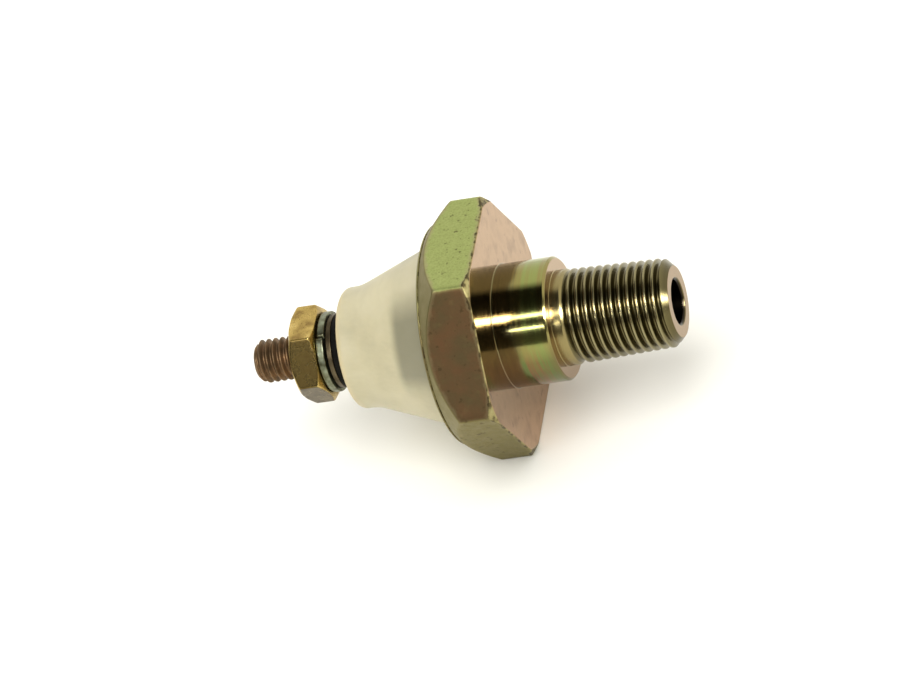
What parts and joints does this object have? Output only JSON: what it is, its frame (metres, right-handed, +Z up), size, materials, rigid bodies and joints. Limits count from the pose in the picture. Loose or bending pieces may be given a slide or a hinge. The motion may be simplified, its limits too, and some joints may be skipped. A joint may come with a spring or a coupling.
{
  "type": "pressure switch",
  "caption": "Screw-in oil pressure switch: hexagonal steel body with a tapered port thread, moulded insulator, and a threaded terminal stud with nut and washers.",
  "frame": {"origin": "on the switch's axis, in the front face of the hexagon, where the boss of the port starts", "axes": "+X along the axis from the terminal stud towards the pressure port, +Z up with one flat of the hexagon facing -Z"},
  "size_m": [0.0483, 0.0294, 0.0254],
  "materials": {
    "zinc_yellow_steel": "machined from hexagon bar, yellow iridescent zinc plating, worn",
    "zinc_white_steel": "spring steel, dull zinc plating",
    "steel": "plain steel, dull",
    "browned_steel": "rolled thread, browned and oily",
    "brass": "tarnished brass",
    "silver": "silver contact metal",
    "cream_nylon": "natural cream nylon, moulded, satin",
    "black_rubber": "black oil-resistant rubber",
    "amber_film": "amber polyimide film",
    "phenolic": "brown phenolic moulding"
  },
  "bodies": {
    "housing": {"port_body": "zinc_yellow_steel", "diaphragm_gasket": "black_rubber", "diaphragm": "amber_film", "contact_ring": "brass", "crimp_seal": "black_rubber", "insulator": "cream_nylon", "terminal_stud": "browned_steel", "inner_washer": "brass", "setting_screw": "brass", "spring_seat": "brass", "contact_spring": "steel", "stud_seal": "black_rubber"},
    "contact_carrier": {"pressure_plate": "steel", "insulating_pusher": "phenolic", "contact_plate": "brass", "contact_rivet_1": "silver", "contact_rivet_2": "silver", "contact_rivet_3": "silver"},
    "stud_washers": {"plain_washer": "steel", "lock_washer": "zinc_white_steel"},
    "nut": {"terminal_nut": "brass"}
  },
  "joints": [
    {"name": "contact_travel", "type": "slide", "parent": "housing", "child": "contact_carrier", "axis": [-1, 0, 0], "range_m": [0, 0.0006], "stiffness_N_per_m": 3000, "springref_m": -0.0013, "deforming": ["contact_spring", "diaphragm"]},
    {"name": "washer_slide", "type": "slide", "parent": "housing", "child": "stud_washers", "axis": [-1, 0, 0], "range_m": [0, 0.00476]},
    {"name": "nut_turn", "type": "hinge", "parent": "stud_washers", "child": "nut", "pos_m": [-0.02255, 0, 0], "axis": [-1, 0, 0], "range_deg": [0, 2160]}
  ],
  "couplings": [
    {"joint": "nut_turn", "follows": "washer_slide", "rad_per_m": 7915.8}
  ]
}
